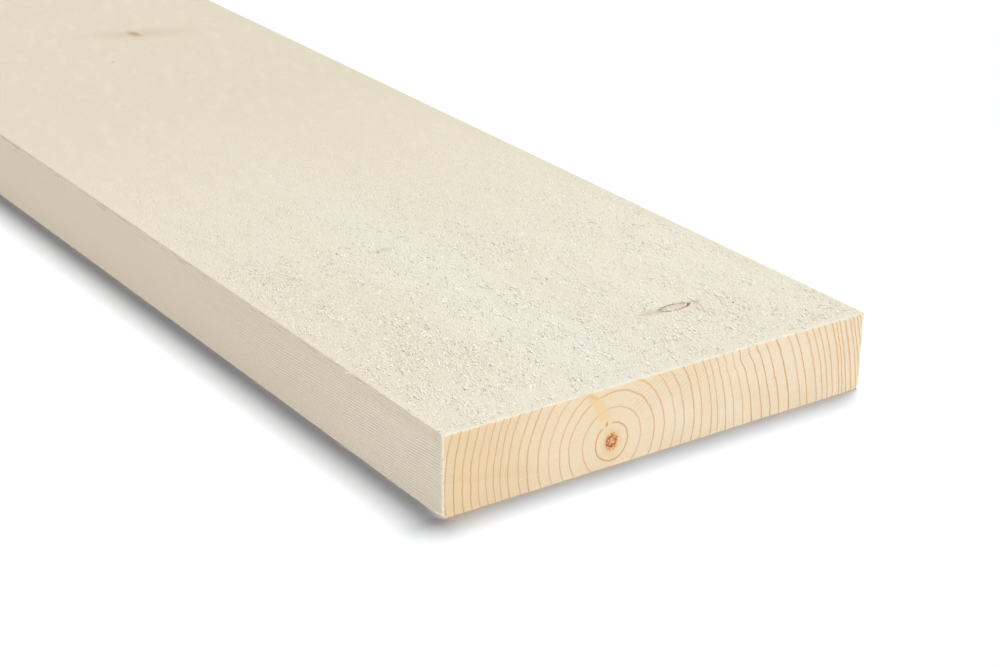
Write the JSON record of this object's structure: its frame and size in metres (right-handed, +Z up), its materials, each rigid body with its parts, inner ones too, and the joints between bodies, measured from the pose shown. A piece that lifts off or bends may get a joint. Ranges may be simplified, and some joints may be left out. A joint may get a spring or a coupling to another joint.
{
  "type": "timber plank",
  "caption": "Rough-sawn softwood plank: a long flat board of plain rectangular section with square-cut ends, used for boarding, shelving, formwork and light framing.",
  "frame": {"origin": "middle of the underside, on the surface that the plank lies on", "axes": "+X along the length, towards the end with the pith in view; +Y across the width; +Z up through the thickness"},
  "size_m": [1.8, 0.15, 0.025],
  "materials": {
    "sawn_wood": "rough sawn, bare"
  },
  "bodies": {
    "root": {"plank": "sawn_wood"}
  },
  "joints": []
}
